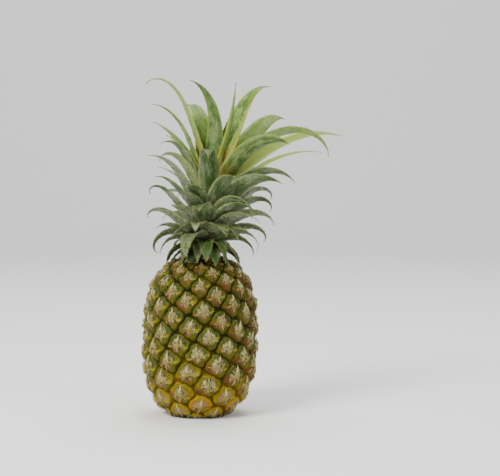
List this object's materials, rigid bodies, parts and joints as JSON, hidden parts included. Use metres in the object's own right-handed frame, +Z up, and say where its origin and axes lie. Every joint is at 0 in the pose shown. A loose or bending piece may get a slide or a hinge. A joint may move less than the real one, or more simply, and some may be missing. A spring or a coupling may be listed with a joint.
{
  "type": "pineapple",
  "caption": "Whole ripe pineapple standing on its cut base, with raised hexagonal eyes in spiral rows and a tall leafy crown that leans and arches to one side.",
  "frame": {"origin": "centre of the flat base that the fruit stands on, in the middle of the cut stalk's face", "axes": "+Z up through the fruit and the crown; +X toward the side that the crown leans and arches to; the side seen in the picture faces -Y"},
  "size_m": [0.2126, 0.1604, 0.3515],
  "materials": {
    "rind": "waxy olive rind, yellower toward the base",
    "leaf": "tough grey-green leaf with a matt bloom",
    "cut_stalk": "dry fibrous cut face"
  },
  "bodies": {
    "root": {"fruit": "rind", "crown": "leaf", "stalk": "cut_stalk"}
  },
  "joints": []
}
